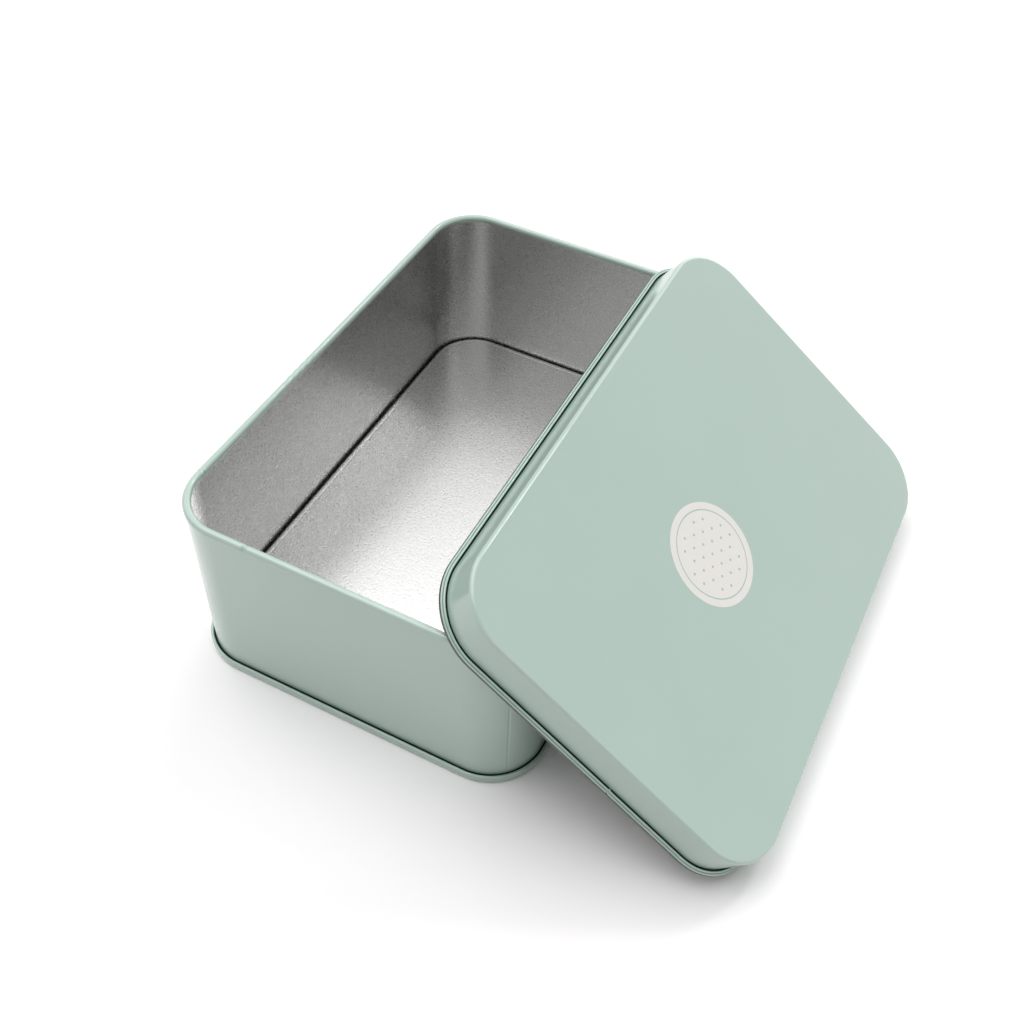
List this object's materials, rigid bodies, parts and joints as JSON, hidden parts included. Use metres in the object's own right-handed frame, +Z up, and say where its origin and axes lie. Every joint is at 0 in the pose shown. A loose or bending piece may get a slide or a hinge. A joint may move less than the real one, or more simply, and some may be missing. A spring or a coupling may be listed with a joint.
{
  "type": "biscuit tin",
  "caption": "Rectangular pressed tin with rounded corners, a curled rim and a double-seamed foot, its slip lid taken off and leaning against it.",
  "frame": {"origin": "on the ground, under the centre of the whole object's box, with the lid where it leans", "axes": "+Z up, +X across the tin's short sides towards the leaning lid, +Y along the tin's long sides"},
  "size_m": [0.22, 0.2078, 0.0948],
  "materials": {
    "mint_paint": "satin enamel outside, bare tinplate inside",
    "tinplate": "satin bare tinplate inside, satin mint enamel on the seam outside"
  },
  "bodies": {
    "tin": {"tin_wall": "mint_paint", "tin_base": "tinplate"},
    "lid": {"lid": "mint_paint"}
  },
  "joints": [
    {"name": "lid_lift", "type": "slide", "parent": "tin", "child": "lid", "axis": [0, 0, 1], "range_m": [0, 0.12]}
  ]
}
